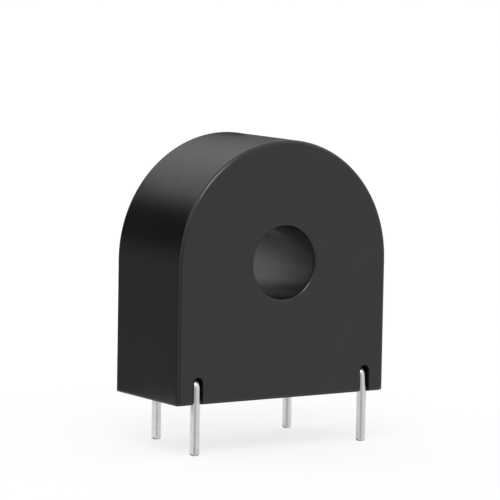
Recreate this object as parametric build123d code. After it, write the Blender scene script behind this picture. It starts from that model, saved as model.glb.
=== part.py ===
"""A board-mounted current transformer: a black D-shaped case with a round window for the measured
conductor, potted from behind, standing on four tinned wire pins.

Frame, in millimetres: +X to the right seen from the front, +Y from the front face to the potted
back, +Z up. The origin is in the middle of the flat underside that sits on the circuit board.
"""
import os
from math import cos, radians, sin, sqrt, tan

from build123d import *

# Case
body_width = 22.0
body_depth = 10.2
foot_height = 1.0
side_wall = 0.9
front_wall = 1.0
front_edge_radius = 0.4
lower_edge_radius = 0.2
window_diameter = 6.5
window_rise = 0.15
window_front_round = 0.25
window_back_round = 0.1
tube_wall = 0.8

# Pins: round wire bent to an L, the front row all but flush with the front face
pin_diameter = 0.85
pin_protrusion = 4.5
front_pin_inset = 2.1
back_pin_inset = 3.9
front_pin_recess = 0.02
back_pin_recess = 0.12
pin_bend_radius = 0.6
pin_lean = 5.0
pin_lean_radius = 1.0
pin_lean_drop = 0.2
pin_grip = 1.4
pin_tip_chamfer = 0.15

# Notches that the pins come down through, and the plastic that holds the pins
notch_side_clearance = 0.1
notch_head_clearance = 0.4
front_notch_depth = 2.4
back_notch_clearance = 0.1
post_margin = 0.8
post_end_wall = 0.6
saddle_length = 1.0
saddle_margin = 0.4

# Coil seat inside the case
rib_count = 4
rib_height = 0.3
rib_width = 0.8
coil_tube_clearance = 0.15
coil_wall_clearance = 0.4
resin_cover = 0.6

# Coil layers, from the outside inwards
tape_thickness = 0.1
turns_shown = 60
turn_relief = 0.12
winding_inner_build = 0.8
winding_outer_build = 0.45
winding_side_build = 0.6
winding_corner = 0.5
box_wall = 0.4
box_corner_radius = 0.25
lid_thickness = 0.4
lid_lip_width = 0.3
lid_lip_height = 0.25
lid_clearance = 0.03
pad_thickness = 0.3
core_clearance = 0.05

# Leads from the winding to the back pins
lead_diameter = 0.4
lead_angle = 40.0
lead_depth_in_winding = 0.3
lead_bow = 0.35
sleeve_wall = 0.2
sleeve_start_share = 0.3
sleeve_end_share = 0.82
solder_length = 1.0
solder_radius = 0.675
solder_toe = 0.1
solder_floor_clearance = 0.05

# Heights and places that follow from them
arch_height = foot_height + body_width / 2
window_height = arch_height + window_rise
window_radius = window_diameter / 2
tube_radius = window_radius + tube_wall
pin_radius = pin_diameter / 2
pin_exit_height = side_wall + solder_floor_clearance + solder_radius
front_face = -body_depth / 2
back_rim = body_depth / 2
cavity_front = front_face + front_wall
front_pin_x = body_width / 2 - front_pin_inset
back_pin_x = body_width / 2 - back_pin_inset
front_pin_row = front_face + front_pin_recess + pin_radius
back_pin_row = back_rim - back_pin_recess - pin_radius
pin_set_back = (pin_exit_height + pin_lean_drop) * tan(radians(pin_lean))
notch_width = pin_diameter + 2 * notch_side_clearance
notch_top = pin_exit_height + pin_radius + notch_head_clearance
front_notch_end = front_face + front_notch_depth
resin_level = back_pin_row - pin_set_back - pin_radius - back_notch_clearance

# Where each pin's inner leg ends
front_pin_end = front_notch_end + pin_grip
back_pin_end = resin_level - saddle_length - solder_length

# Coil envelope, front to back and from its axis outwards
coil_front = cavity_front + rib_height
coil_back = resin_level - resin_cover
coil_inner = tube_radius + coil_tube_clearance
coil_outer = body_width / 2 - side_wall - window_rise - coil_wall_clearance
winding_front = coil_front + tape_thickness
winding_back = coil_back - tape_thickness
winding_inner = coil_inner + tape_thickness
winding_outer = coil_outer - tape_thickness
box_front = winding_front + winding_side_build
box_back = winding_back - winding_side_build
box_inner = winding_inner + winding_inner_build
box_outer = winding_outer - winding_outer_build
lid_front = box_back - lid_thickness
pad_back = lid_front - lid_lip_height
pad_front = pad_back - pad_thickness
core_front = box_front + box_wall


def dee(half_width, floor_height):
    """A D standing on its flat side: upright sides under a half circle."""
    corners = [
        (-half_width, arch_height),
        (-half_width, floor_height),
        (half_width, floor_height),
        (half_width, arch_height),
    ]
    crown = (0, arch_height + half_width)
    return make_face(Polyline(*corners) + ThreePointArc(corners[-1], crown, corners[0]))


def slab(face, y_front, y_back):
    """A front-view face drawn out from y_front to y_back."""
    return extrude(Plane.XZ.offset(-y_back) * face, y_back - y_front)


def block(x_low, x_high, y_low, y_high, z_low, z_high):
    """A box between two corners."""
    middle = Pos((x_low + x_high) / 2, (y_low + y_high) / 2, (z_low + z_high) / 2)
    return middle * Box(x_high - x_low, y_high - y_low, z_high - z_low)


def ring_section(inner, outer, y_front, y_back):
    """A rectangle with radius along X and depth along Y, ready to be turned about Y."""
    return Pos((inner + outer) / 2, (y_front + y_back) / 2) * Rectangle(outer - inner, y_back - y_front)


def turned(section):
    """A section turned about the window's axis."""
    return Pos(0, 0, window_height) * revolve(section, Axis.Y)


def pin_notch(x, y_front, y_back):
    """The slot with a round head, open at the underside, that one pin comes down through."""
    head_height = notch_top - notch_width / 2
    straight = Pos(x, (head_height - side_wall) / 2) * Rectangle(notch_width, head_height + side_wall)
    outline = straight + Pos(x, head_height) * Circle(notch_width / 2)
    return slab(outline, y_front, y_back)


def front_post(side):
    """The moulded corner post round a front notch, which grips the end of the pin's inner leg."""
    post_inside = front_pin_x - notch_width / 2 - post_margin
    post_outside = body_width / 2 - side_wall / 2
    post_back = front_pin_end + post_end_wall
    x_low, x_high = sorted([side * post_inside, side * post_outside])
    return block(x_low, x_high, cavity_front, post_back, side_wall / 2, notch_top + post_margin)


def back_saddle(side):
    """The low block in front of a back notch, in which the pin's inner leg lies before potting."""
    middle = side * back_pin_x
    half = notch_width / 2 + saddle_margin
    y_low = resin_level - saddle_length
    return block(middle - half, middle + half, y_low, resin_level, side_wall / 2, pin_exit_height)


def coil_rib(angle):
    """One radial rib on the inside of the front wall, which the coil stands off on."""
    root = tube_radius - tube_wall / 2
    rib = block(root, coil_outer, cavity_front, coil_front, -rib_width / 2, rib_width / 2)
    return Pos(0, 0, window_height) * (Rot(0, angle, 0) * rib)


def make_pin(inner_leg_length):
    """One bent pin. Its free end is on the Z axis, leans back a little from just under the case, and
    turns at the exit height into an inner leg that points to +Y."""
    corners = [
        (0, 0, -pin_protrusion),
        (0, 0, -pin_lean_drop),
        (0, pin_set_back, pin_exit_height),
        (0, inner_leg_length, pin_exit_height),
    ]
    route = FilletPolyline(*corners, radius=(pin_lean_radius, pin_bend_radius))
    wire = sweep(Plane.XY.offset(-pin_protrusion) * Circle(pin_radius), path=route)
    tip = wire.edges().sort_by(Axis.Z)[0]
    return chamfer(tip, pin_tip_chamfer)


def make_pins():
    """The four pins, front pair and back pair, named by the corner that they stand at."""
    front_pin = make_pin(front_pin_end - front_pin_row)
    back_pin = Rot(0, 0, 180) * make_pin(back_pin_row - back_pin_end)
    pins = {}
    for side, side_name in ((-1, "left"), (1, "right")):
        pins["pin_front_" + side_name] = Pos(side * front_pin_x, front_pin_row, 0) * front_pin
        pins["pin_back_" + side_name] = Pos(side * back_pin_x, back_pin_row, 0) * back_pin
    return pins


def rounded_mouth(radius):
    """The corner of the section that a round takes away at the window's front mouth."""
    corner = Rectangle(radius, radius, align=(Align.MIN, Align.MIN))
    return corner - Pos(radius, radius) * Circle(radius)


def window_bore():
    """The window's bore with a small round at each mouth, as one turned cutter."""
    section = ring_section(0, window_radius, front_face, back_rim)
    section += Pos(window_radius, front_face) * rounded_mouth(window_front_round)
    section += Pos(window_radius, back_rim) * mirror(rounded_mouth(window_back_round), Plane.XZ)
    return turned(section)


def make_case(pins):
    """The moulded cup: D-shaped wall, window tube, pin posts, saddles, ribs and notches."""
    outline = dee(body_width / 2, 0)
    outline = fillet(outline.vertices().group_by(Axis.Y)[0], lower_edge_radius)
    cup = slab(outline, front_face, back_rim)
    front_outline = cup.faces().sort_by(Axis.Y)[0].outer_wire().edges()
    cup = fillet(front_outline, front_edge_radius)
    cup -= slab(dee(body_width / 2 - side_wall, side_wall), cavity_front, back_rim)
    cup += turned(ring_section(window_radius, tube_radius, front_face + front_wall / 2, back_rim))
    cup -= window_bore()
    for side in (-1, 1):
        cup += front_post(side)
        cup += back_saddle(side)
    for number in range(rib_count):
        cup += coil_rib(360 * (number + 0.5) / rib_count)
    for side in (-1, 1):
        cup -= pin_notch(side * front_pin_x, front_face, front_notch_end)
        cup -= pin_notch(side * back_pin_x, resin_level, back_rim)
    for pin in pins.values():
        cup -= pin
    return cup


def make_core():
    """The ring of wound magnetic ribbon. Its turns are far too thin to draw one by one."""
    inner = box_inner + box_wall + core_clearance
    outer = box_outer - box_wall - core_clearance
    return turned(ring_section(inner, outer, core_front, pad_front))


def box_envelope():
    """The rounded ring that the closed core box fills."""
    section = ring_section(box_inner, box_outer, box_front, box_back)
    return fillet(section.vertices(), box_corner_radius)


def make_core_box():
    """The open channel that the core lies in."""
    room = ring_section(box_inner + box_wall, box_outer - box_wall, core_front, box_back)
    above = ring_section(box_inner, box_outer, lid_front, box_back)
    return turned(box_envelope() - room - above)


def make_core_box_lid():
    """The flat ring that closes the core box, with two lips that drop between its walls."""
    plate = box_envelope() - ring_section(box_inner, box_outer, box_front, lid_front)
    inner_lip = box_inner + box_wall + lid_clearance
    outer_lip = box_outer - box_wall - lid_clearance
    lip_front = lid_front - lid_lip_height
    lips = ring_section(inner_lip, inner_lip + lid_lip_width, lip_front, lid_front)
    lips += ring_section(outer_lip - lid_lip_width, outer_lip, lip_front, lid_front)
    return turned(plate + lips)


def make_core_pad():
    """The soft ring that the lid's lips press on the core, so that it doesn't rattle."""
    inner = box_inner + box_wall + core_clearance
    outer = box_outer - box_wall - core_clearance
    return turned(ring_section(inner, outer, pad_front, pad_back))


def winding_section(relief):
    """The winding's outline in a radial plane, sunk by relief all round."""
    section = ring_section(
        winding_inner + relief, winding_outer - relief, winding_front + relief, winding_back - relief
    )
    return chamfer(section.vertices(), winding_corner)


def make_winding(leads):
    """The secondary winding: turns that rise and fall round the ring, over the core box."""
    steps = turns_shown
    half_ring = [
        Rot(0, -180 * step / steps, 0) * winding_section(turn_relief * (step % 2))
        for step in range(steps + 1)
    ]
    half = loft(half_ring, ruled=True)
    winding = Pos(0, 0, window_height) * (half + Rot(0, 180, 0) * half)
    winding -= turned(box_envelope())
    for lead in leads.values():
        winding -= lead
    return winding


def coil_envelope():
    """The ring that the taped coil fills."""
    section = ring_section(coil_inner, coil_outer, coil_front, coil_back)
    corner = winding_corner + tape_thickness * (2 - sqrt(2))
    return turned(chamfer(section.vertices(), corner))


def make_tape(leads):
    """The film tape round the winding, as one closed skin that the leads come through."""
    tape = coil_envelope() - turned(winding_section(0))
    for lead in leads.values():
        tape -= lead
    return tape


def lead_route(side):
    """The arc that a lead follows, from the back pin's inner leg to the winding."""
    y = back_pin_end + solder_length / 2
    reach = winding_outer - lead_depth_in_winding
    foot = Vector(side * back_pin_x, y, pin_exit_height)
    head = Vector(
        side * reach * sin(radians(lead_angle)), y, window_height - reach * cos(radians(lead_angle))
    )
    middle = (foot + head) / 2 + Vector(side * lead_bow, 0, 0)
    return ThreePointArc(foot, middle, head)


def round_along(route, radius):
    """A round wire along a route."""
    return sweep(Plane(origin=route @ 0, z_dir=route % 0) * Circle(radius), path=route)


def make_leads(pins):
    """The two leads, each cut to the surface of the pin that it is soldered to."""
    leads = {}
    for side, name, pin in ((-1, "lead_start", "pin_back_left"), (1, "lead_finish", "pin_back_right")):
        leads[name] = round_along(lead_route(side), lead_diameter / 2) - pins[pin]
    return leads


def make_sleeves():
    """The insulating sleeves over the middle of the leads."""
    sleeves = {}
    for side, name in ((-1, "sleeve_start"), (1, "sleeve_finish")):
        route = lead_route(side).trim(sleeve_start_share, sleeve_end_share)
        outside = round_along(route, lead_diameter / 2 + sleeve_wall)
        sleeves[name] = outside - round_along(route, lead_diameter / 2)
    return sleeves


def make_solder(leads):
    """The solder beads round the inner ends of the two back pins."""
    beads = {}
    toe = pin_radius + solder_toe
    arc = ThreePointArc((toe, 0), (solder_radius, solder_length / 2), (toe, solder_length))
    base = Polyline((toe, solder_length), (pin_radius, solder_length), (pin_radius, 0), (toe, 0))
    bead = revolve(make_face(arc + base), Axis.Y)
    for side, name, lead in ((-1, "solder_start", "lead_start"), (1, "solder_finish", "lead_finish")):
        beads[name] = Pos(side * back_pin_x, back_pin_end, pin_exit_height) * bead - leads[lead]
    return beads


def make_resin(case, others):
    """The potting resin: all of the cavity up to its level that nothing else fills."""
    inside = dee(body_width / 2 - side_wall, side_wall) - Pos(0, window_height) * Circle(tube_radius)
    resin = slab(inside, cavity_front, resin_level) - case - coil_envelope()
    resin -= front_post(-1) + front_post(1)
    for other in others:
        resin -= other
    return resin


def make_parts():
    """Every piece by the name of its file."""
    pins = make_pins()
    leads = make_leads(pins)
    sleeves = make_sleeves()
    solder = make_solder(leads)
    case = make_case(pins)
    parts = {
        "case": case,
        "core": make_core(),
        "core_box": make_core_box(),
        "core_box_lid": make_core_box_lid(),
        "core_pad": make_core_pad(),
        "secondary_winding": make_winding(leads),
        "winding_tape": make_tape(leads),
    }
    parts.update(pins)
    parts.update(leads)
    parts.update(sleeves)
    parts.update(solder)
    loose = [*pins.values(), *leads.values(), *sleeves.values(), *solder.values()]
    parts["potting_resin"] = make_resin(case, loose)
    return parts


if __name__ == "__main__":
    os.makedirs("parts", exist_ok=True)
    for name, part in make_parts().items():
        export_step(part, os.path.join("parts", name + ".step"))
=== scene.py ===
"""Looks for a board-mounted current transformer: a black moulded case with a round window, potted
from behind, on four bent pins of tinned wire.

The frame is the CAD's: +X to the right seen from the front, +Y from the front face to the potted
back, +Z up, with the origin in the middle of the flat underside. New pieces are modelled in
millimetres and brought to metres when they are done.
"""

from __future__ import annotations

import logging
import math
from collections.abc import Callable, Iterator
from dataclasses import dataclass, field
from enum import Enum

import bmesh
import bpy
from mathutils import Matrix, Vector

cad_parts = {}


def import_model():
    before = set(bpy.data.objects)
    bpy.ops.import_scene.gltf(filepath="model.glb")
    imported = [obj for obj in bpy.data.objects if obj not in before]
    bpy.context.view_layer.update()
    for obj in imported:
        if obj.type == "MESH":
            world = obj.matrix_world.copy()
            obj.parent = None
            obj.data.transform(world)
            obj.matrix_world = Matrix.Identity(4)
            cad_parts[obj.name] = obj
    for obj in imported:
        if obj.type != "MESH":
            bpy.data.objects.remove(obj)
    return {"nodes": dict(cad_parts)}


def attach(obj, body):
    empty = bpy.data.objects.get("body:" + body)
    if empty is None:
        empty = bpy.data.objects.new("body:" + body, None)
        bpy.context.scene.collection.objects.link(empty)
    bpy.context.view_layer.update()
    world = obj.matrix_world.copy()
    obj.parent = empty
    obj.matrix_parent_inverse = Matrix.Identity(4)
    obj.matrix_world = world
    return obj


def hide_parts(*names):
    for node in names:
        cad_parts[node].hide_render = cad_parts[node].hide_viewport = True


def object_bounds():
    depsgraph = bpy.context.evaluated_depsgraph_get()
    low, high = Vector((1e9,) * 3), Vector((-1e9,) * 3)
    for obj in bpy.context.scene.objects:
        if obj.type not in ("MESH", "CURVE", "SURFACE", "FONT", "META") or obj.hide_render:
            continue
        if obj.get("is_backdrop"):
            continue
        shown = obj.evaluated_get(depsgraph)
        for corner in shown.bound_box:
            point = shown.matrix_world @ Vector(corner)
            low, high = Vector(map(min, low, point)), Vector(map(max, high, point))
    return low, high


LOG = logging.getLogger("current_transformer")
BODY = "root"
MM = 0.001  # one millimetre, in metres
TOUCH = 0.001  # places within this many millimetres of each other count as one
SAG = 0.01  # how far, in millimetres, an edge's middle may lie inside the circle that it follows
CLEAR = 1.0  # how far a cutter reaches past what it cuts, in millimetres
ALONG = 0.9  # a direction lies along an axis when its part along it is larger
ACROSS = 0.1  # and across the axis when that part is smaller
WHITE = (1.0, 1.0, 1.0, 1.0)
UPRIGHT = (math.pi / 2, 0, 0)  # the turn that stands a flat ring up, to face along Y
Point = tuple[float, float, float]
Colour = tuple[float, float, float]
Pair = tuple[float, float]
Stops = tuple[Pair, ...]


class Side(Enum):
    """The two sides of the case, seen from the front."""

    LEFT = -1
    RIGHT = 1


class Row(Enum):
    """The two rows of pins, with the direction in which a row's inner legs point along Y."""

    FRONT = 1
    BACK = -1


class Element(Enum):
    """What a selection in edit mode picks."""

    VERTEX = "VERT"
    EDGE = "EDGE"
    FACE = "FACE"


class Blend(Enum):
    """How a cutter or a neighbour is brought into a piece."""

    CUT = "DIFFERENCE"
    ADD = "UNION"


class Blank:
    """One piece on the bench: a mesh in millimetres, shaped with Blender's own operators."""

    def __init__(self, name: str) -> None:
        """Take the primitive that was just added and open it in edit mode, all of it selected.

        Args:
            name: what the piece is called in the scene.
        """
        self.body = bpy.context.object
        self.body.name = name
        self.body.data.name = name
        bpy.ops.object.transform_apply(location=True, rotation=True, scale=True)
        bpy.ops.object.mode_set(mode="EDIT")
        self.select_all()

    @classmethod
    def ring(cls, name: str, radius: float, centre: Point, steps: int, turn: Point) -> Blank:
        """Start from an open ring of edges.

        Args:
            name: what the piece is called.
            radius: the ring's radius.
            centre: the ring's middle.
            steps: how many edges the ring has.
            turn: the ring's turn about X, Y and Z; unturned it lies flat.

        Returns:
            The new piece, in edit mode.
        """
        cls.clear_selection()
        bpy.ops.mesh.primitive_circle_add(
            vertices=steps, radius=radius, fill_type="NOTHING", location=centre, rotation=turn
        )
        return cls(name)

    @classmethod
    def block(cls, name: str, low: Point, high: Point) -> Blank:
        """Start from a block between two corners.

        Args:
            name: what the piece is called.
            low: its lowest corner.
            high: its highest corner.

        Returns:
            The new piece, in edit mode.
        """
        cls.clear_selection()
        middle = tuple((a + b) / 2 for a, b in zip(low, high))
        size = tuple(b - a for a, b in zip(low, high))
        bpy.ops.mesh.primitive_cube_add(size=1, location=middle, scale=size)
        return cls(name)

    @staticmethod
    def clear_selection() -> None:
        """Leave edit mode and deselect every object."""
        if bpy.context.object and bpy.context.object.mode == "EDIT":
            bpy.ops.object.mode_set(mode="OBJECT")
        bpy.ops.object.select_all(action="DESELECT")

    def take_up(self) -> None:
        """Select this piece, and only this piece, in object mode."""
        self.clear_selection()
        self.body.select_set(True)
        bpy.context.view_layer.objects.active = self.body

    def edit(self) -> None:
        """Open this piece, and only this piece, in edit mode."""
        self.take_up()
        bpy.ops.object.mode_set(mode="EDIT")

    def select(self, element: Element, test: Callable[[Vector, Vector], bool]) -> None:
        """Select what passes a test on its place and normal, and nothing else.

        Args:
            element: vertices, edges or faces.
            test: takes an element's middle and its normal; an edge gives its direction instead.
        """
        bpy.ops.mesh.select_mode(type=element.value)
        bpy.ops.mesh.select_all(action="DESELECT")
        mesh = bmesh.from_edit_mesh(self.body.data)
        if element is Element.VERTEX:
            parts = [(v, v.co, v.normal) for v in mesh.verts]
        elif element is Element.EDGE:
            ends = [(e, e.verts[0].co, e.verts[1].co) for e in mesh.edges]
            parts = [(e, (a + b) / 2, (b - a).normalized()) for e, a, b in ends]
        else:
            parts = [(f, f.calc_center_median(), f.normal) for f in mesh.faces]
        for part, middle, direction in parts:
            if test(middle, direction):
                part.select_set(True)
        mesh.select_flush_mode()
        bmesh.update_edit_mesh(self.body.data)

    def select_all(self) -> None:
        """Select everything."""
        bpy.ops.mesh.select_all(action="SELECT")

    def extrude(self, offset: Point) -> None:
        """Draw the selection out by an offset."""
        bpy.ops.mesh.extrude_region_move(TRANSFORM_OT_translate={"value": offset})

    def resize(self, scale: Point, centre: Point) -> None:
        """Scale the selection about a point."""
        bpy.ops.transform.resize(value=scale, center_override=centre)

    def spin(self, steps: int, angle: float, centre: Point, axis: Point) -> None:
        """Turn the selected edges about an axis and leave a surface behind them."""
        bpy.ops.mesh.spin(steps=steps, angle=angle, center=centre, axis=axis, dupli=False)

    def close(self) -> None:
        """Fill the selected open outline with one face."""
        bpy.ops.mesh.edge_face_add()

    def merge(self) -> None:
        """Merge doubled vertices and turn every face outwards."""
        self.select_all()
        bpy.ops.mesh.remove_doubles(threshold=TOUCH / 2)
        bpy.ops.mesh.normals_make_consistent(inside=False)

    def draw_out(self, depth: float) -> None:
        """Fill the open outline and draw it out along Y to a closed solid.

        Args:
            depth: how far it is drawn out.
        """
        self.select_all()
        self.close()
        self.select_all()
        self.extrude((0, depth, 0))
        self.merge()

    def round_edges(self, width: float, segments: int) -> None:
        """Round the selected edges."""
        bpy.ops.mesh.bevel(
            offset_type="OFFSET",
            offset=width,
            segments=segments,
            affect="EDGES",
            clamp_overlap=False,
        )

    def weigh_edges(self, weight: float) -> None:
        """Give the selected edges a bevel weight."""
        bpy.ops.transform.edge_bevelweight(value=weight)

    def modify(self, kind: str, **settings: object) -> None:
        """Put a modifier on the piece and apply it.

        Args:
            kind: the modifier's type.
            settings: its properties.
        """
        self.take_up()
        modifier = self.body.modifiers.new(kind, kind)
        for name, setting in settings.items():
            setattr(modifier, name, setting)
        bpy.ops.object.modifier_apply(modifier=modifier.name)

    def blend(self, tool: Blank, how: Blend) -> None:
        """Cut another piece out of this one or add it, and throw the other away."""
        self.modify("BOOLEAN", operation=how.value, solver="EXACT", object=tool.body)
        bpy.data.objects.remove(tool.body)

    def bevel(self, width: float, segments: int, angle: float | None = None) -> None:
        """Round edges with a modifier and apply it.

        Args:
            width: the width of the round on an edge of full weight.
            segments: how many faces the round has.
            angle: edges sharper than this are rounded; with None the edges' weights count.
        """
        self.modify(
            "BEVEL",
            width=width,
            segments=segments,
            use_clamp_overlap=False,
            limit_method="WEIGHT" if angle is None else "ANGLE",
            angle_limit=angle or 0.0,
        )

    def finish(self, smooth_below: float) -> bpy.types.Object:
        """Shade the piece, bring it to metres and let go of it.

        Args:
            smooth_below: edges flatter than this angle are shaded smooth.

        Returns:
            The finished object, at the origin, unturned and unscaled.
        """
        self.take_up()
        bpy.ops.object.shade_smooth_by_angle(angle=smooth_below)
        self.modify("WEIGHTED_NORMAL", keep_sharp=True, weight=100)
        self.body.scale = (MM, MM, MM)
        bpy.ops.object.transform_apply(location=True, rotation=True, scale=True)
        self.clear_selection()
        return self.body


@dataclass(frozen=True)
class Value:
    """A shader socket that takes part in Python expressions; each operation adds a Math node."""

    graph: Graph
    socket: bpy.types.NodeSocket

    def _math(self, operation: str, *inputs: Value | float) -> Value:
        """Work one operation out with a Math node.

        Args:
            operation: the node's operation.
            inputs: values or numbers for its inputs, in order.

        Returns:
            The result.
        """
        node = self.graph.node("ShaderNodeMath", {"operation": operation}, dict(enumerate(inputs)))
        return Value(self.graph, node.outputs[0])

    def __add__(self, other: Value | float) -> Value:
        """Sum."""
        return self._math("ADD", self, other)

    __radd__ = __add__

    def __mul__(self, other: Value | float) -> Value:
        """Product."""
        return self._math("MULTIPLY", self, other)

    __rmul__ = __mul__

    def __sub__(self, other: Value | float) -> Value:
        """Difference."""
        return self._math("SUBTRACT", self, other)

    def __rsub__(self, other: float) -> Value:
        """Difference from a number."""
        return self._math("SUBTRACT", other, self)

    def __truediv__(self, other: Value | float) -> Value:
        """Quotient."""
        return self._math("DIVIDE", self, other)

    def sine(self) -> Value:
        """Sine of an angle in radians."""
        return self._math("SINE", self)

    def wave(self) -> Value:
        """Sine of an angle in radians, brought between 0 and 1."""
        return self.sine() * 0.5 + 0.5

    def angle_from(self, other: Value) -> Value:
        """The angle whose tangent is this value over the other."""
        return self._math("ARCTAN2", self, other)

    def root(self) -> Value:
        """Square root."""
        return self._math("SQRT", self)

    def between(self, low: float, high: float) -> Value:
        """Rise smoothly from 0 to 1.

        Args:
            low: the result is 0 here and below.
            high: the result is 1 here and above.

        Returns:
            The result.
        """
        node = self.graph.node(
            "ShaderNodeMapRange",
            {"interpolation_type": "SMOOTHSTEP"},
            {"Value": self, "From Min": low, "From Max": high},
        )
        return Value(self.graph, node.outputs[0])

    def ramp(self, stops: Stops) -> Value:
        """Look the value up in (place, level) pairs, with straight lines between them."""
        node = self.graph.node("ShaderNodeValToRGB", {"stops": stops}, {0: self})
        return Value(self.graph, node.outputs[0])


class Graph:
    """A node tree whose nodes are all added by one method."""

    def __init__(self, tree: bpy.types.NodeTree) -> None:
        """Work on that tree."""
        self.tree = tree

    def node(
        self, kind: str, settings: dict | None = None, values: dict | None = None
    ) -> bpy.types.Node:
        """Add a node.

        Args:
            kind: the node's type.
            settings: properties of the node, set first; stops is a ramp's (place, level) pairs.
            values: numbers, colours or links for its inputs, by name or number.

        Returns:
            The new node.
        """
        node = self.tree.nodes.new(kind)
        for name, setting in (settings or {}).items():
            if name == "stops":
                self._set_stops(node.color_ramp, setting)
            else:
                setattr(node, name, setting)
        for name, value in (values or {}).items():
            self.set(node, name, value)
        return node

    def set(self, node: bpy.types.Node, name: str | int, value: object) -> None:
        """Fill one input of a node.

        Args:
            node: the node.
            name: the input's name or number.
            value: a number or colour, or a value or socket to link.
        """
        if isinstance(value, Value):
            value = value.socket
        if isinstance(value, bpy.types.NodeSocket):
            self.tree.links.new(value, node.inputs[name])
        else:
            node.inputs[name].default_value = value

    def ray(self, kind: str) -> Value:
        """1 for rays of one kind, such as Is Camera Ray, else 0."""
        return Value(self, self.node("ShaderNodeLightPath").outputs[kind])

    def parts(self, vector: bpy.types.NodeSocket) -> tuple[Value, Value, Value]:
        """The three parts of a vector as values."""
        node = self.node("ShaderNodeSeparateXYZ", None, {0: vector})
        return tuple(Value(self, s) for s in node.outputs)

    @staticmethod
    def _set_stops(ramp: bpy.types.ColorRamp, stops: Stops) -> None:
        """Lay out a ramp.

        Args:
            ramp: a new ramp, which has two stops.
            stops: its (place, level) pairs.
        """
        while len(ramp.elements) < len(stops):
            ramp.elements.new(1.0)
        for element, (place, level) in zip(ramp.elements, stops):
            element.position = place
            element.color = (level, level, level, 1.0)


class Shader(Graph):
    """A material with one Principled shader."""

    MIX_COLOURS = (6, 7)  # a Mix node's two colour inputs
    MIX_RESULT = 2  # and its colour output

    def __init__(self, name: str) -> None:
        """Make a material with nothing set yet.

        Args:
            name: the material's name.
        """
        self.material = bpy.data.materials.new(name)
        self.material.use_nodes = True
        super().__init__(self.material.node_tree)
        self.surface = next(n for n in self.tree.nodes if n.type == "BSDF_PRINCIPLED")
        self.place = self.node("ShaderNodeTexCoord").outputs["Object"]

    def axes(self) -> tuple[Value, Value, Value]:
        """The object coordinates, in metres, as three values."""
        return self.parts(self.place)

    def stretched(self, scale: Point) -> bpy.types.NodeSocket:
        """Object coordinates scaled differently along each axis."""
        node = self.node("ShaderNodeMapping", None, {"Vector": self.place, "Scale": scale})
        return node.outputs["Vector"]

    def noise(
        self, size_mm: float, detail: float = 2.0, vector: bpy.types.NodeSocket | None = None
    ) -> Value:
        """Soft noise between 0 and 1, with its middle near 0.5.

        Args:
            size_mm: how large one patch is.
            detail: how many finer layers it has.
            vector: other coordinates than the object's own.

        Returns:
            The noise.
        """
        node = self.node(
            "ShaderNodeTexNoise",
            None,
            {"Vector": vector or self.place, "Scale": 1 / (size_mm * MM), "Detail": detail},
        )
        return Value(self, node.outputs[0])

    def cells(self, size_mm: float) -> Value:
        """How far the middle of the nearest cell of a random packing is, 0 in that middle.

        Args:
            size_mm: how large one cell is.

        Returns:
            The distance, as a share of the size.
        """
        node = self.node(
            "ShaderNodeTexVoronoi", None, {"Vector": self.place, "Scale": 1 / (size_mm * MM)}
        )
        return Value(self, node.outputs["Distance"])

    def blend(self, share: Value, first: Colour, second: Colour) -> bpy.types.NodeSocket:
        """Mix two colours.

        Args:
            share: the second colour's share, between 0 and 1.
            first: one colour.
            second: the other.

        Returns:
            The mixed colour.
        """
        node = self.node("ShaderNodeMix", {"data_type": "RGBA"}, {0: share})
        for number, colour in zip(self.MIX_COLOURS, (first, second)):
            self.set(node, number, (*colour, 1.0))
        return node.outputs[self.MIX_RESULT]

    def relief(self, height: Value, depth_mm: float) -> None:
        """Shape the surface.

        Args:
            height: the relief, between 0 and 1.
            depth_mm: how deep it is.
        """
        values = {"Strength": 1.0, "Distance": depth_mm * MM, "Height": height}
        bump = self.node("ShaderNodeBump", None, values)
        self.set(self.surface, "Normal", bump.outputs["Normal"])

    def paint(self, **values: object) -> bpy.types.Material:
        """Fill the surface's own inputs.

        Args:
            values: what goes into each input, named with underscores for spaces.

        Returns:
            The material.
        """
        for name, value in values.items():
            if isinstance(value, tuple):
                value = (*value, 1.0)
            self.set(self.surface, name.replace("_", " "), value)
        return self.material


@dataclass(frozen=True)
class MouldedBlack:
    """Satin black moulding compound, with the fine grain of a spark-eroded mould."""

    colour: Colour = (0.0065, 0.0065, 0.0067)
    flow_colour: Colour = (0.0085, 0.0085, 0.0087)
    roughness: float = 0.25
    unevenness: float = 0.06
    specular: float = 0.55
    flow_edge: Pair = (0.35, 0.7)
    relief_shares: Pair = (0.8, 0.2)
    grain_mm: float = 0.09
    ripple_mm: float = 0.6
    patch_mm: float = 1.1
    flow_mm: float = 4.0
    depth_mm: float = 0.0012

    def material(self) -> bpy.types.Material:
        """Mix the look.

        Returns:
            The finished material.
        """
        shader = Shader("moulded_black")
        grain = shader.noise(self.grain_mm, detail=3.0)
        flow = shader.noise(self.flow_mm)
        patches = shader.noise(self.patch_mm, detail=3.0)
        colour = shader.blend(flow.between(*self.flow_edge), self.colour, self.flow_colour)
        spots = self.unevenness * (patches - 0.5)
        roughness = self.roughness + spots + self.unevenness * (grain - 0.5)
        fine, broad = self.relief_shares
        shader.relief(grain * fine + shader.noise(self.ripple_mm) * broad, self.depth_mm)
        shader.paint(Specular_IOR_Level=self.specular, Metallic=0.0)
        return shader.paint(Base_Color=colour, Roughness=roughness)


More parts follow.
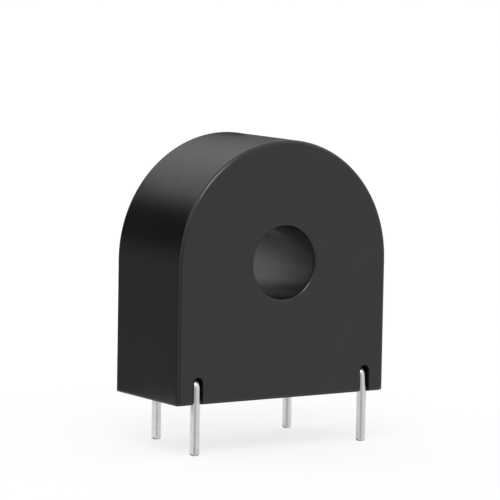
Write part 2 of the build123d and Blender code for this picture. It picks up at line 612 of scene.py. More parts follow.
@dataclass(frozen=True)
class TinnedWire:
    """Dipped tin on round wire: bright, with faint lines drawn along it and duller patches."""

    colour: Colour = (0.76, 0.755, 0.75)
    dull_colour: Colour = (0.70, 0.695, 0.69)
    roughness: float = 0.22
    line_swing: float = 0.06
    patch_swing: float = 0.08
    patch_middle: float = 0.45
    dull_edge: Pair = (0.4, 0.75)
    line_mm: float = 0.06
    line_stretch: Point = (1.0, 1.0, 0.04)
    patch_mm: float = 0.9
    depth_mm: float = 0.0008

    def material(self) -> bpy.types.Material:
        """Mix the look.

        Returns:
            The finished material.
        """
        shader = Shader("tinned_wire")
        lines = shader.noise(self.line_mm, vector=shader.stretched(self.line_stretch))
        patches = shader.noise(self.patch_mm)
        colour = shader.blend(patches.between(*self.dull_edge), self.colour, self.dull_colour)
        shader.relief(lines, self.depth_mm)
        spots = self.patch_swing * (patches - self.patch_middle)
        roughness = self.roughness + spots + self.line_swing * (lines - 0.5)
        return shader.paint(Base_Color=colour, Roughness=roughness, Metallic=1.0)


@dataclass(frozen=True)
class PottingCompound:
    """Black casting resin, poured and cured: glossy, a little wavy, with a few pinholes."""

    colour: Colour = (0.011, 0.0112, 0.0125)
    cloud_colour: Colour = (0.017, 0.0172, 0.0182)
    roughness: float = 0.13
    cloud_swing: float = 0.10
    cloud_middle: float = 0.4
    pinhole_swing: float = 0.2
    cloud_edge: Pair = (0.4, 0.75)
    relief_shares: Point = (0.9, 0.1, 0.35)
    wave_mm: float = 3.2
    cloud_mm: float = 1.6
    pinhole_pitch_mm: float = 1.7
    pinhole_edge: Pair = (0.03, 0.075)
    depth_mm: float = 0.10

    def material(self) -> bpy.types.Material:
        """Mix the look.

        Returns:
            The finished material.
        """
        shader = Shader("potting_compound")
        waves = shader.noise(self.wave_mm, detail=1.0)
        clouds = shader.noise(self.cloud_mm, detail=3.0)
        pits = 1 - shader.cells(self.pinhole_pitch_mm).between(*self.pinhole_edge)
        colour = shader.blend(clouds.between(*self.cloud_edge), self.colour, self.cloud_colour)
        broad, fine, deep = self.relief_shares
        shader.relief(waves * broad + clouds * fine - pits * deep, self.depth_mm)
        haze = self.cloud_swing * (clouds - self.cloud_middle)
        roughness = self.roughness + haze + pits * self.pinhole_swing
        return shader.paint(Base_Color=colour, Roughness=roughness, Metallic=0.0)


@dataclass(frozen=True)
class SolderMetal:
    """Solder that has set: bright, with the soft ripples of its cooling."""

    colour: Colour = (0.72, 0.72, 0.71)
    dull_colour: Colour = (0.52, 0.52, 0.52)
    roughness: float = 0.18
    roughness_swing: float = 0.25
    dull_edge: Pair = (0.4, 0.7)
    ripple_mm: float = 0.28
    depth_mm: float = 0.012

    def material(self) -> bpy.types.Material:
        """Mix the look.

        Returns:
            The finished material.
        """
        shader = Shader("solder_metal")
        ripples = shader.noise(self.ripple_mm, detail=3.0)
        colour = shader.blend(ripples.between(*self.dull_edge), self.colour, self.dull_colour)
        shader.relief(ripples, self.depth_mm)
        roughness = self.roughness + self.roughness_swing * ripples
        return shader.paint(Base_Color=colour, Roughness=roughness, Metallic=1.0)


@dataclass(frozen=True)
class WoundTurns:
    """Enamelled copper turns round the ring's section, drawn by their angle about its axis, with
    painted shade in the gaps between turns.
    """

    axis_height_mm: float
    turns: int = 380
    wander: float = 5.0
    wander_mm: float = 2.0
    colour: Colour = (0.66, 0.24, 0.09)
    # painted shade: the darker colour drawn in the gaps between turns
    painted_gap_shade_colour: Colour = (0.20, 0.055, 0.02)
    painted_gap_shade_edge: Pair = (0.05, 0.55)
    roughness: float = 0.2
    roughness_swing: float = 0.16
    metallic: float = 0.85
    enamel: float = 0.6
    depth_mm: float = 0.05

    def material(self) -> bpy.types.Material:
        """Mix the look.

        Returns:
            The finished material.
        """
        shader = Shader("enamelled_copper")
        x, _, z = shader.axes()
        angle = x.angle_from(z - self.axis_height_mm * MM)
        drift = shader.noise(self.wander_mm)
        strand = (angle * self.turns + drift * self.wander).wave()
        # painted shade darkens the gaps between the turns
        colour = shader.blend(strand.between(*self.painted_gap_shade_edge), self.painted_gap_shade_colour, self.colour)
        shader.relief(strand.root(), self.depth_mm)
        shader.paint(Metallic=self.metallic, Coat_Weight=self.enamel)
        roughness = self.roughness + self.roughness_swing * drift
        return shader.paint(Base_Color=colour, Roughness=roughness)


@dataclass(frozen=True)
class FilmTape:
    """Thin amber film lapped round the coil, with the step of each lap and its trapped creases."""

    axis_height_mm: float
    laps: int = 34
    slant: float = 9.0
    colour: Colour = (0.72, 0.47, 0.10)
    lap_colour: Colour = (0.50, 0.29, 0.05)
    lap_edge: Pair = (0.35, 0.65)
    colour_shares: Pair = (0.6, 0.4)
    relief_shares: Pair = (0.7, 0.3)
    roughness: float = 0.16
    roughness_swing: float = 0.2
    crease_mm: float = 0.9
    depth_mm: float = 0.03

    def material(self) -> bpy.types.Material:
        """Mix the look.

        Returns:
            The finished material.
        """
        shader = Shader("film_tape")
        x, y, z = shader.axes()
        angle = x.angle_from(z - self.axis_height_mm * MM) + y * self.slant
        wave = (angle * self.laps).wave()
        creases = shader.noise(self.crease_mm, detail=4.0)
        step = wave.between(*self.lap_edge)
        laps, folds = self.colour_shares
        colour = shader.blend(step * laps + creases * folds, self.colour, self.lap_colour)
        laps, folds = self.relief_shares
        shader.relief(step * laps + creases * folds, self.depth_mm)
        roughness = self.roughness + self.roughness_swing * creases
        return shader.paint(Base_Color=colour, Roughness=roughness, Metallic=0.0)


@dataclass(frozen=True)
class PalePlastic:
    """Natural glass-filled plastic of the core box, faintly mottled by its fibres."""

    colour: Colour = (0.62, 0.60, 0.53)
    fibre_colour: Colour = (0.52, 0.50, 0.43)
    colour_shares: Pair = (0.6, 0.4)
    roughness: float = 0.42
    roughness_swing: float = 0.14
    fibre_mm: float = 0.12
    fibre_stretch: Point = (1.0, 1.0, 0.25)
    cloud_mm: float = 2.4
    depth_mm: float = 0.006

    def material(self) -> bpy.types.Material:
        """Mix the look.

        Returns:
            The finished material.
        """
        shader = Shader("pale_plastic")
        stretched = shader.stretched(self.fibre_stretch)
        fibres = shader.noise(self.fibre_mm, detail=3.0, vector=stretched)
        clouds = shader.noise(self.cloud_mm)
        fine, broad = self.colour_shares
        colour = shader.blend(fibres * fine + clouds * broad, self.colour, self.fibre_colour)
        shader.relief(fibres, self.depth_mm)
        roughness = self.roughness + self.roughness_swing * fibres
        return shader.paint(Base_Color=colour, Roughness=roughness, Metallic=0.0)


@dataclass(frozen=True)
class FoamPad:
    """Grey closed-cell foam, cut so that small cells stand open, with painted shade in the open
    cells.
    """

    colour: Colour = (0.13, 0.13, 0.135)
    # painted shade: the darker grey drawn in the hollows of the open cells
    painted_pore_shade: Colour = (0.05, 0.05, 0.052)
    cell_edge: Pair = (0.1, 0.55)
    roughness: float = 0.78
    roughness_swing: float = 0.12
    cell_mm: float = 0.22
    depth_mm: float = 0.04

    def material(self) -> bpy.types.Material:
        """Mix the look.

        Returns:
            The finished material.
        """
        shader = Shader("foam_pad")
        cells = shader.cells(self.cell_mm).between(*self.cell_edge)
        # painted shade darkens the middles of the open cells
        colour = shader.blend(cells, self.painted_pore_shade, self.colour)
        shader.relief(cells, self.depth_mm)
        roughness = self.roughness + self.roughness_swing * cells
        return shader.paint(Base_Color=colour, Roughness=roughness, Metallic=0.0)


@dataclass(frozen=True)
class CoreRibbon:
    """Annealed magnetic ribbon, wound on edge: fine round lines and a straw heat tint."""

    axis_height_mm: float
    ribbon_mm: float = 0.12
    colour: Colour = (0.50, 0.48, 0.45)
    tint: Colour = (0.30, 0.25, 0.20)
    colour_shares: Pair = (0.45, 0.55)
    roughness: float = 0.30
    roughness_swing: float = 0.2
    cloud_mm: float = 2.2
    depth_mm: float = 0.012

    def material(self) -> bpy.types.Material:
        """Mix the look.

        Returns:
            The finished material.
        """
        shader = Shader("core_ribbon")
        x, _, z = shader.axes()
        up = z - self.axis_height_mm * MM
        radius = (x * x + up * up).root()
        lines = (radius * (math.tau / (self.ribbon_mm * MM))).wave()
        clouds = shader.noise(self.cloud_mm, detail=3.0)
        fine, broad = self.colour_shares
        colour = shader.blend(lines * fine + clouds * broad, self.colour, self.tint)
        shader.relief(lines, self.depth_mm)
        roughness = self.roughness + self.roughness_swing * clouds
        return shader.paint(Base_Color=colour, Roughness=roughness, Metallic=1.0)


@dataclass(frozen=True)
class BraidedSleeve:
    """Varnished woven sleeving: two sets of fine threads that cross along the lead, with painted
    shade in the gaps between threads.
    """

    thread_mm: float = 0.11
    slant: float = 0.6
    colour: Colour = (0.36, 0.32, 0.16)
    # painted shade: the darker colour drawn in the gaps between threads
    painted_gap_shade_colour: Colour = (0.14, 0.12, 0.06)
    thread_edge: Pair = (0.2, 0.8)
    roughness: float = 0.36
    roughness_swing: float = 0.1
    depth_mm: float = 0.02

    def material(self) -> bpy.types.Material:
        """Mix the look.

        Returns:
            The finished material.
        """
        shader = Shader("braided_sleeve")
        x, y, z = shader.axes()
        pitch = math.tau / (self.thread_mm * MM)
        rising = ((z + x * self.slant + y * self.slant) * pitch).sine()
        falling = ((z - x * self.slant - y * self.slant) * pitch).sine()
        threads = (rising * falling * 0.5 + 0.5).between(*self.thread_edge)
        # painted shade darkens the gaps between the threads
        colour = shader.blend(threads, self.painted_gap_shade_colour, self.colour)
        shader.relief(threads, self.depth_mm)
        roughness = self.roughness + self.roughness_swing * threads
        return shader.paint(Base_Color=colour, Roughness=roughness, Metallic=0.0)


def arched_block(
    name: str, half_width: float, floor: float, arch: Pair, span: Pair, steps: int
) -> Blank:
    """Model a D standing on its flat side, drawn out along Y.

    Args:
        name: what the piece is called.
        half_width: the arch's radius and half the width of the upright sides.
        floor: the height of the flat side.
        arch: the place of the arch's middle across the case and its height.
        span: where it starts and ends along Y.
        steps: how many edges the half circle has.

    Returns:
        The closed solid, in edit mode.
    """
    front, back = span
    x, height = arch
    blank = Blank.ring(name, half_width, (x, front, height), 2 * steps, UPRIGHT)
    blank.select(Element.VERTEX, lambda place, _: place.z < height - TOUCH)
    bpy.ops.mesh.delete(type="VERT")
    blank.select(Element.VERTEX, lambda place, _: place.z < height + TOUCH)
    blank.extrude((0, 0, floor - height))
    blank.draw_out(back - front)
    return blank


def rod(name: str, radius: float, axis: Pair, span: Pair, steps: int) -> Blank:
    """Model a round rod along Y.

    Args:
        name: what the piece is called.
        radius: the rod's radius.
        axis: the place of its axis across the case and its height.
        span: where it starts and ends along Y.
        steps: how many sides it has.

    Returns:
        The closed solid, in edit mode.
    """
    front, back = span
    x, height = axis
    blank = Blank.ring(name, radius, (x, front, height), steps, UPRIGHT)
    blank.draw_out(back - front)
    return blank


@dataclass(frozen=True)
class Layout:
    """The sizes, in millimetres, that more than one piece has to agree on.

    They are the CAD's, apart from the front pins' lift and the depth to which legs are modelled.
    """

    width: float = 22.0
    depth: float = 10.2
    foot_height: float = 1.0
    side_wall: float = 0.9
    front_wall: float = 1.0
    window_radius: float = 3.25
    window_rise: float = 0.15
    tube_wall: float = 0.8
    pin_radius: float = 0.425
    pin_exit: float = 1.625
    pin_lean: float = math.radians(5)
    pin_lean_drop: float = 0.2
    front_pin_x: float = 8.9
    back_pin_x: float = 7.1
    front_pin_recess: float = 0.02
    back_pin_recess: float = 0.12
    back_notch_clearance: float = 0.1
    front_leg_lift: float = 0.32
    front_leg_end: float = -1.3
    back_leg_depth: float = 2.0
    arch_steps: int = 128
    window_steps: int = 128
    pin_sides: int = 32

    @property
    def arch_height(self) -> float:
        """The height of the arch's middle."""
        return self.foot_height + self.width / 2

    @property
    def arch_axis(self) -> Pair:
        """The place of the arch's middle across the case and its height."""
        return 0.0, self.arch_height

    @property
    def axis_height(self) -> float:
        """The height of the window's axis."""
        return self.arch_height + self.window_rise

    @property
    def window_axis(self) -> Pair:
        """The place of the window's axis across the case and its height."""
        return 0.0, self.axis_height

    @property
    def front(self) -> float:
        """The front face's place along Y."""
        return -self.depth / 2

    @property
    def back(self) -> float:
        """The back rim's place along Y."""
        return self.depth / 2

    @property
    def cavity_front(self) -> float:
        """The place along Y where the front wall ends."""
        return self.front + self.front_wall

    @property
    def cavity_half(self) -> float:
        """Half the width between the side walls."""
        return self.width / 2 - self.side_wall

    @property
    def tube_radius(self) -> float:
        """The outer radius of the tube round the window."""
        return self.window_radius + self.tube_wall

    @property
    def front_row(self) -> float:
        """The front pins' place along Y."""
        return self.front + self.front_pin_recess + self.pin_radius

    @property
    def back_row(self) -> float:
        """The back pins' place along Y."""
        return self.back - self.back_pin_recess - self.pin_radius

    @property
    def pin_set_back(self) -> float:
        """How far a pin has leant back at its exit height."""
        return (self.pin_exit + self.pin_lean_drop) * math.tan(self.pin_lean)

    @property
    def resin_level(self) -> float:
        """The resin's surface, along Y."""
        return self.back_row - self.pin_set_back - self.pin_radius - self.back_notch_clearance

    @property
    def front_leg_height(self) -> float:
        """The height of a front pin's inner leg, a little above the CAD's, as the photo shows."""
        return self.pin_exit + self.front_leg_lift

    @property
    def back_leg_end(self) -> float:
        """Where a back pin's inner leg ends along Y."""
        return self.resin_level - self.back_leg_depth


@dataclass
class Case:
    """The moulded cup: D-shaped wall, window tube, posts, saddles, ribs and the pins' notches."""

    layout: Layout
    front_round: float = 0.4
    lower_round: float = 0.2
    outer_round_steps: int = 6
    window_front_round: float = 0.25
    window_back_round: float = 0.1
    window_round_steps: int = 5
    edge_round: float = 0.05
    edge_round_steps: int = 2
    edge_angle: float = math.radians(40)
    smooth_below: float = math.radians(30)
    notch_width: float = 1.05
    notch_top: float = 2.45
    notch_steps: int = 24
    front_notch_depth: float = 2.4
    post_margin: float = 0.8
    post_back: float = -0.7
    saddle_margin: float = 0.4
    saddle_length: float = 1.0
    saddle_cover: float = 0.05
    rib_count: int = 4
    rib_height: float = 0.3
    rib_width: float = 0.8
    rib_reach: float = 9.5
    finish: MouldedBlack = field(default_factory=MouldedBlack)

    def shell(self) -> Blank:
        """Model the D-shaped block with its rounded front and lower edges.

        Returns:
            The block, in object mode.
        """
        layout = self.layout
        half, span = layout.width / 2, (layout.front, layout.back)
        shell = arched_block("case_moulding", half, 0, layout.arch_axis, span, layout.arch_steps)
        shell.select(Element.EDGE, lambda place, _: place.y < layout.front + TOUCH)
        shell.weigh_edges(1.0)
        shell.select(Element.EDGE, lambda place, way: place.z < TOUCH and abs(way.y) > ALONG)
        shell.weigh_edges(self.lower_round / self.front_round)
        shell.bevel(self.front_round, self.outer_round_steps)
        return shell

    def room(self) -> Blank:
        """Model the cutter of the cup's inside, which leaves the tube round the window.

        Returns:
            The cutter.
        """
        layout = self.layout
        span = (layout.cavity_front, layout.back + CLEAR)
        floor, arch = layout.side_wall, layout.arch_axis
        room = arched_block("room", layout.cavity_half, floor, arch, span, layout.arch_steps)
        span = (layout.front - CLEAR, layout.back + CLEAR)
        tube = rod("tube", layout.tube_radius, layout.window_axis, span, layout.window_steps)
        room.blend(tube, Blend.CUT)
        return room

    def notch(self, x: float, span: Pair) -> Blank:
        """Model the cutter of one notch: a slot with a round head, open below.

        Args:
            x: the notch's middle across the case.
            span: where it starts and ends along Y.

        Returns:
            The cutter.
        """
        half = self.notch_width / 2
        head = (x, self.notch_top - half)
        return arched_block("notch", half, -self.layout.side_wall, head, span, self.notch_steps)

    def fittings(self) -> Iterator[Blank]:
        """Model what stands inside the cup, one block at a time.

        Yields:
            The posts round the front pins, the saddles under the back pins' inner legs, and the
            ribs that the coil stands off on.
        """
        layout = self.layout
        front = layout.cavity_front - layout.front_wall / 2
        floor = layout.side_wall / 2
        inner = layout.front_pin_x - self.notch_width / 2 - self.post_margin
        outer = layout.width / 2 - layout.side_wall / 2
        top = self.notch_top + self.post_margin
        half = self.notch_width / 2 + self.saddle_margin
        skin = layout.resin_level - self.saddle_cover
        for side in Side:
            low, high = sorted((side.value * inner, side.value * outer))
            yield Blank.block("post", (low, front, floor), (high, self.post_back, top))
            x = side.value * layout.back_pin_x
            near = (x - half, skin - self.saddle_length, floor)
            yield Blank.block("saddle", near, (x + half, skin, layout.pin_exit))
        root = layout.tube_radius - layout.tube_wall / 2
        end = layout.cavity_front + self.rib_height
        for number in range(self.rib_count):
            near = (root, front, -self.rib_width / 2)
            rib = Blank.block("rib", near, (self.rib_reach, end, self.rib_width / 2))
            turn = math.tau * (number + 0.5) / self.rib_count
            bpy.ops.transform.rotate(value=turn, orient_axis="Y", center_override=(0, 0, 0))
            bpy.ops.transform.translate(value=(0, 0, layout.axis_height))
            yield rib

    def leg_room(self) -> Iterator[Blank]:
        """Model the cutters of the pins' inner legs: holes in the posts, grooves in the saddles.

        Yields:
            One rod for each pin.
        """
        layout = self.layout
        front_leg = (layout.cavity_front, layout.front_leg_end)
        back_leg = (layout.back_leg_end, layout.resin_level)
        for side in Side:
            for x, height, span in (
                (layout.front_pin_x, layout.front_leg_height, front_leg),
                (layout.back_pin_x, layout.pin_exit, back_leg),
            ):
                axis = (side.value * x, height)
                yield rod("leg", layout.pin_radius, axis, span, layout.pin_sides)

    def build(self) -> bpy.types.Object:
        """Model the cup and cut its window and notches.

        Returns:
            The finished case.
        """
        layout = self.layout
        case = self.shell()
        case.blend(self.room(), Blend.CUT)
        span = (layout.front - CLEAR, layout.back + CLEAR)
        bore = rod("bore", layout.window_radius, layout.window_axis, span, layout.window_steps)
        case.blend(bore, Blend.CUT)
        case.edit()
        mouths = ((layout.front, self.window_front_round), (layout.back, self.window_back_round))
        for mouth, width in mouths:
            case.select(Element.EDGE, lambda place, _, mouth=mouth: self._on_mouth(place, mouth))
            case.round_edges(width, self.window_round_steps)
        for fitting in self.fittings():
            case.blend(fitting, Blend.ADD)
        front_span = (layout.front - CLEAR, layout.front + self.front_notch_depth)
        back_span = (layout.resin_level, layout.back + CLEAR)
        for side in Side:
            case.blend(self.notch(side.value * layout.front_pin_x, front_span), Blend.CUT)
            case.blend(self.notch(side.value * layout.back_pin_x, back_span), Blend.CUT)
        for leg in self.leg_room():
            case.blend(leg, Blend.CUT)
        case.edit()
        case.merge()
        case.bevel(self.edge_round, self.edge_round_steps, self.edge_angle)
        return case.finish(self.smooth_below)

    def _on_mouth(self, place: Vector, mouth: float) -> bool:
        """Whether an edge lies on the window's mouth at that place along Y."""
        reach = math.hypot(place.x, place.z - self.layout.axis_height)
        return abs(place.y - mouth) < TOUCH and abs(reach - self.layout.window_radius) < SAG

    def dress(self, piece: bpy.types.Object) -> None:
        """Give the case its material and put it in the place of its CAD node.

        Args:
            piece: the finished case.
        """
        piece.data.materials.append(self.finish.material())
        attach(piece, BODY)
        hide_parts("case")


@dataclass
class Pins:
    """The four pins: round wire that leans back above its free end and turns into the case."""

    layout: Layout
    protrusion: float = 4.5
    tip_chamfer: float = 0.15
    tip_round: float = 0.05
    tip_round_steps: int = 2
    lean_radius: float = 1.0
    lean_steps: int = 4
    bend_radius: float = 0.5
    bend_steps: int = 14
    straighter: float = math.radians(4.5)
    smooth_below: float = math.radians(40)
    finish: TinnedWire = field(default_factory=TinnedWire)

    def build_one(self, name: str, side: Side, row: Row) -> bpy.types.Object:
        """Model one pin, from its free end up and round into the case.

        Args:
            name: the piece's name.
            side: which side it is on.
            row: which row it is in.

        Returns:
            The finished pin.
        """
        layout = self.layout
        inwards = row.value
        lean = layout.pin_lean
        if row is Row.FRONT:
            x, row_y, end_y = layout.front_pin_x, layout.front_row, layout.front_leg_end
            leg_height = layout.front_leg_height
            lean -= self.straighter if side is Side.LEFT else 0.0
        else:
            x, row_y, end_y = layout.back_pin_x, layout.back_row, layout.back_leg_end
            leg_height = layout.pin_exit
        x *= side.value
        bottom, chamfer = -self.protrusion, self.tip_chamfer
        tip = layout.pin_radius - chamfer
        pin = Blank.ring(name, tip, (x, row_y, bottom), layout.pin_sides, (0, 0, 0))
        pin.extrude((0, 0, chamfer))
        grow = layout.pin_radius / tip
        pin.resize((grow, grow, 1), (x, row_y, bottom + chamfer))
        turn = math.pi / 2 - lean
        lean_tangent = self.lean_radius * math.tan(lean / 2)
        bend_tangent = self.bend_radius * math.tan(turn / 2)
        start = -layout.pin_lean_drop - lean_tangent
        pin.extrude((0, 0, start - bottom - chamfer))
        centre = (x, row_y + inwards * self.lean_radius, start)
        pin.spin(self.lean_steps, lean, centre, (inwards, 0, 0))
        rise = leg_height + layout.pin_lean_drop
        length = rise / math.cos(lean) - lean_tangent - bend_tangent
        pin.extrude((0, inwards * length * math.sin(lean), length * math.cos(lean)))
        bend_end = row_y + inwards * (rise * math.tan(lean) + bend_tangent)
        centre = (x, bend_end, leg_height - self.bend_radius)
        pin.spin(self.bend_steps, turn, centre, (inwards, 0, 0))
        pin.extrude((0, end_y - bend_end, 0))
        pin.close()
        pin.select(Element.VERTEX, lambda place, _: place.z < bottom + TOUCH)
        pin.close()
        pin.merge()
        tip_top = bottom + chamfer + TOUCH
        pin.select(Element.EDGE, lambda place, way: place.z < tip_top and abs(way.z) < ACROSS)
        pin.round_edges(self.tip_round, self.tip_round_steps)
        return pin.finish(self.smooth_below)

    def dress(self) -> list[bpy.types.Object]:
        """Build the four pins and give them their wire's finish.

        Returns:
            The four pins.
        """
        material = self.finish.material()
        made = []
        for row in Row:
            for side in Side:
                node = f"pin_{row.name.lower()}_{side.name.lower()}"
                pin = self.build_one("wire_" + node, side, row)
                pin.data.materials.append(material)
                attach(pin, BODY)
                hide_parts(node)
                made.append(pin)
        return made


@dataclass
class Potting:
    """The resin that fills the case, which climbs a little where it wets the walls."""

    layout: Layout
    case: Case
    climb: float = 0.20
    meniscus: Stops = (
        (0.015, 0.055),
        (0.03, 0.05),
        (0.05, 0.04),
        (0.08, 0.03),
        (0.12, 0.018),
        (0.16, 0.007),
    )
    coil_front_gap: float = 0.28
    coil_cover: float = 0.6
    coil_radii: Pair = (4.2, 9.55)
    smooth_below: float = math.radians(50)
    finish: PottingCompound = field(default_factory=PottingCompound)

    def build(self) -> bpy.types.Object:
        """Model the poured resin with the coil's room inside and the meniscus on top.

        Returns:
            The finished resin.
        """
        layout = self.layout
        bottom, top = layout.cavity_front, layout.resin_level + self.climb
        floor, arch, steps = layout.side_wall, layout.arch_axis, layout.arch_steps
        resin = arched_block("potting_fill", layout.cavity_half, floor, arch, (bottom, top), steps)
        through = (bottom - CLEAR, top + CLEAR)
        tube = rod("tube", layout.tube_radius, layout.window_axis, through, layout.window_steps)
        resin.blend(tube, Blend.CUT)
        for fitting in self.case.fittings():
            resin.blend(fitting, Blend.CUT)
        inner, outer = self.coil_radii
        coil_span = (bottom + self.coil_front_gap, layout.resin_level - self.coil_cover)
        coil = rod("coil", outer, layout.window_axis, coil_span, layout.window_steps)
        eye = rod("eye", inner, layout.window_axis, through, layout.window_steps)
        coil.blend(eye, Blend.CUT)
        resin.blend(coil, Blend.CUT)
        resin.edit()
        skin = top - TOUCH
        resin.select(Element.FACE, lambda place, normal: place.y > skin and normal.y > ALONG)
        for width, drop in self.meniscus:
            bpy.ops.mesh.inset(
                thickness=width, depth=-drop, use_boundary=True, use_even_offset=True
            )
        resin.merge()
        return resin.finish(self.smooth_below)

    def dress(self, piece: bpy.types.Object) -> None:
        """Give the resin its material and put it in the place of its CAD node.

        Args:
            piece: the finished resin.
        """
        piece.data.materials.append(self.finish.material())
        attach(piece, BODY)
        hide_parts("potting_resin")


@dataclass
class Coil:
    """What the resin hides, shown by its CAD nodes: core, box, winding, tape, leads and joints."""

    nodes: dict[str, bpy.types.Object]
    axis_height: float

    def dress(self) -> None:
        """Give each inner CAD node its own material."""
        copper = WoundTurns(self.axis_height).material()
        finishes = {
            "secondary_winding": copper,
            "lead_start": copper,
            "lead_finish": copper,
            "winding_tape": FilmTape(self.axis_height).material(),
            "core": CoreRibbon(self.axis_height).material(),
            "core_pad": FoamPad().material(),
        }
        box = PalePlastic().material()
        sleeve = BraidedSleeve().material()
        solder = SolderMetal().material()
        finishes |= {"core_box": box, "core_box_lid": box}
        finishes |= {"sleeve_start": sleeve, "sleeve_finish": sleeve}
        finishes |= {"solder_start": solder, "solder_finish": solder}
        for name, material in finishes.items():
            node = self.nodes[name]
            node.data.materials.clear()
            node.data.materials.append(material)
            LOG.info("%s keeps its CAD mesh and wears %s", name, material.name)


@dataclass
class Studio:
    """The set: a white floor and surround, cards that only reflections see, and two soft lamps."""

    floor_height: float = -4.5
    floor_radius: float = 4.0
    floor_steps: int = 96
    floor_colour: Colour = (0.93, 0.93, 0.93)
    floor_roughness: float = 0.8
    floor_specular: float = 0.2
    floor_grain_mm: float = 0.8
    floor_depth_mm: float = 0.01
    floor_seen: float = 0.32
    floor_glow: float = 0.76
    fill_level: float = 0.70
    back_left: Stops = (
        (0.40, 0.24),
        (0.50, 0.18),
        (0.55, 0.03),
        (0.67, 0.0),
        (0.705, 0.15),
        (0.75, 1.0),
    )
    back_right: Stops = (
        (0.45, 0.18),
        (0.56, 0.18),
        (0.63, 0.22),
        (0.68, 0.36),
        (0.735, 0.66),
        (0.77, 1.0),
    )
    left_to_right: Pair = (-0.35, 0.45)
    front: Stops = ((0.45, 0.78), (0.60, 0.80), (0.72, 1.0))
    front_to_back: Pair = (-0.2, 0.4)
    flag_power: float = 0.33
    flag_towards: Pair = (-0.55, -0.83)
    flag_edge: Pair = (0.78, 0.99)
    flag_top: Pair = (0.1, 0.5)
    card_size: Pair = (26.0, 31.0)
    card_place: Point = (-1.0, 20.0, 11.5)
    card_power: float = 1.3
    card_lean: float = 0.34
    card_lean_rise: Pair = (0.65, 0.95)
    card_foot: Pair = (0.14, 0.26)
    card_foot_level: float = 0.9
    card_rise: Stops = (
        (0.0, 0.05),
        (0.06, 0.1),
        (0.11, 0.26),
        (0.23, 0.30),
        (0.33, 0.42),
        (0.43, 0.66),
        (0.54, 0.84),
        (0.64, 0.97),
        (0.74, 1.0),
        (0.82, 0.95),
        (0.88, 0.75),
        (0.91, 0.4),
        (0.94, 0.05),
        (1.0, 0.0),
    )
    card_run: Stops = (
        (0.0, 0.0),
        (0.058, 0.05),
        (0.077, 0.3),
        (0.104, 0.75),
        (0.135, 1.0),
        (0.35, 1.0),
        (0.48, 0.68),
        (0.61, 0.42),
        (0.69, 0.25),
        (0.82, 0.17),
        (0.91, 0.07),
        (1.0, 0.05),
    )
    pin_card_radius: float = 18.0
    pin_card_front: float = -8.0
    pin_card_span: Pair = (-9.0, -1.3)
    pin_card_steps: int = 96
    pin_card_smooth_below: float = math.radians(30)
    pin_card_power: float = 1.0
    pin_card_rise: Stops = ((0.0, 0.7), (0.4, 0.9), (0.85, 0.9), (1.0, 0.5))
    card_colour: Colour = (0.0, 0.0, 0.0)
    card_roughness: float = 0.9
    lamp_towards: Point = (-0.36, -0.46, 0.81)
    lamp_spread: float = math.radians(30)
    key_power: float = 0.55
    edge_power: float = 0.6

    def floor(self) -> None:
        """Lay the floor. The camera sees it lifted to white, with the object's own shadow."""
        Blank.clear_selection()
        bpy.ops.mesh.primitive_circle_add(
            vertices=self.floor_steps,
            radius=self.floor_radius,
            fill_type="NGON",
            location=(0, 0, self.floor_height * MM),
        )
        floor = bpy.context.object
        floor.name = "studio_floor"
        floor.visible_glossy = False
        shader = Shader("floor_paper")
        shader.relief(shader.noise(self.floor_grain_mm), self.floor_depth_mm)
        shader.paint(Base_Color=self.floor_colour, Roughness=self.floor_roughness)
        shader.paint(Specular_IOR_Level=self.floor_specular)
        seen = tuple(self.floor_seen * part for part in self.floor_colour)
        lifted = shader.node(
            "ShaderNodeBsdfPrincipled",
            None,
            {
                "Base Color": (*seen, 1.0),
                "Roughness": self.floor_roughness,
                "Specular IOR Level": 0.0,
                "Emission Color": WHITE,
                "Emission Strength": self.floor_glow,
            },
        )
        surfaces = {1: shader.surface.outputs[0], 2: lifted.outputs[0]}
        sees = shader.ray("Is Camera Ray")
        either = shader.node("ShaderNodeMixShader", None, {0: sees, **surfaces})
        output = next(n for n in shader.tree.nodes if n.type == "OUTPUT_MATERIAL")
        shader.set(output, "Surface", either.outputs[0])
        floor.data.materials.append(shader.material)
        floor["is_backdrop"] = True

    def window_card(self) -> None:
        """Stand a card behind the set, which only shows as the glow on the window's wall."""
        width, height = (size * MM for size in self.card_size)
        Blank.clear_selection()
        place = tuple(part * MM for part in self.card_place)
        bpy.ops.mesh.primitive_plane_add(size=1, location=place, rotation=UPRIGHT)
        card = bpy.context.object
        card.name = "studio_window_card"
        card.scale = (width, height, 1)
        bpy.ops.object.transform_apply(location=False, rotation=False, scale=True)
        shader = Shader("window_card_paper")
        x, y, _ = shader.axes()
        across, up = x * (1 / width) + 0.5, y * (1 / height) + 0.5
        lean = up.between(*self.card_lean_rise) * (1 - across) * self.card_lean
        run = (across - lean).ramp(self.card_run)
        foot = 1 - up.between(*self.card_foot)
        level = up.ramp(self.card_rise) * (run + foot * (self.card_foot_level - run))
        self.mirrored_only(card, shader, level, self.card_power)

    def pin_card(self) -> None:
        """Bend a low card round the back of the set, so that the pins have no dark outlines."""
        low, high = self.pin_card_span
        place, steps = (0, 0, low), self.pin_card_steps
        blank = Blank.ring("studio_pin_card", self.pin_card_radius, place, steps, (0, 0, 0))
        blank.select(Element.VERTEX, lambda place, _: place.y < self.pin_card_front)
        bpy.ops.mesh.delete(type="VERT")
        blank.select_all()
        blank.extrude((0, 0, high - low))
        card = blank.finish(self.pin_card_smooth_below)
        shader = Shader("pin_card_paper")
        _, _, z = shader.axes()
        level = ((z - low * MM) / ((high - low) * MM)).ramp(self.pin_card_rise)
        self.mirrored_only(card, shader, level, self.pin_card_power)

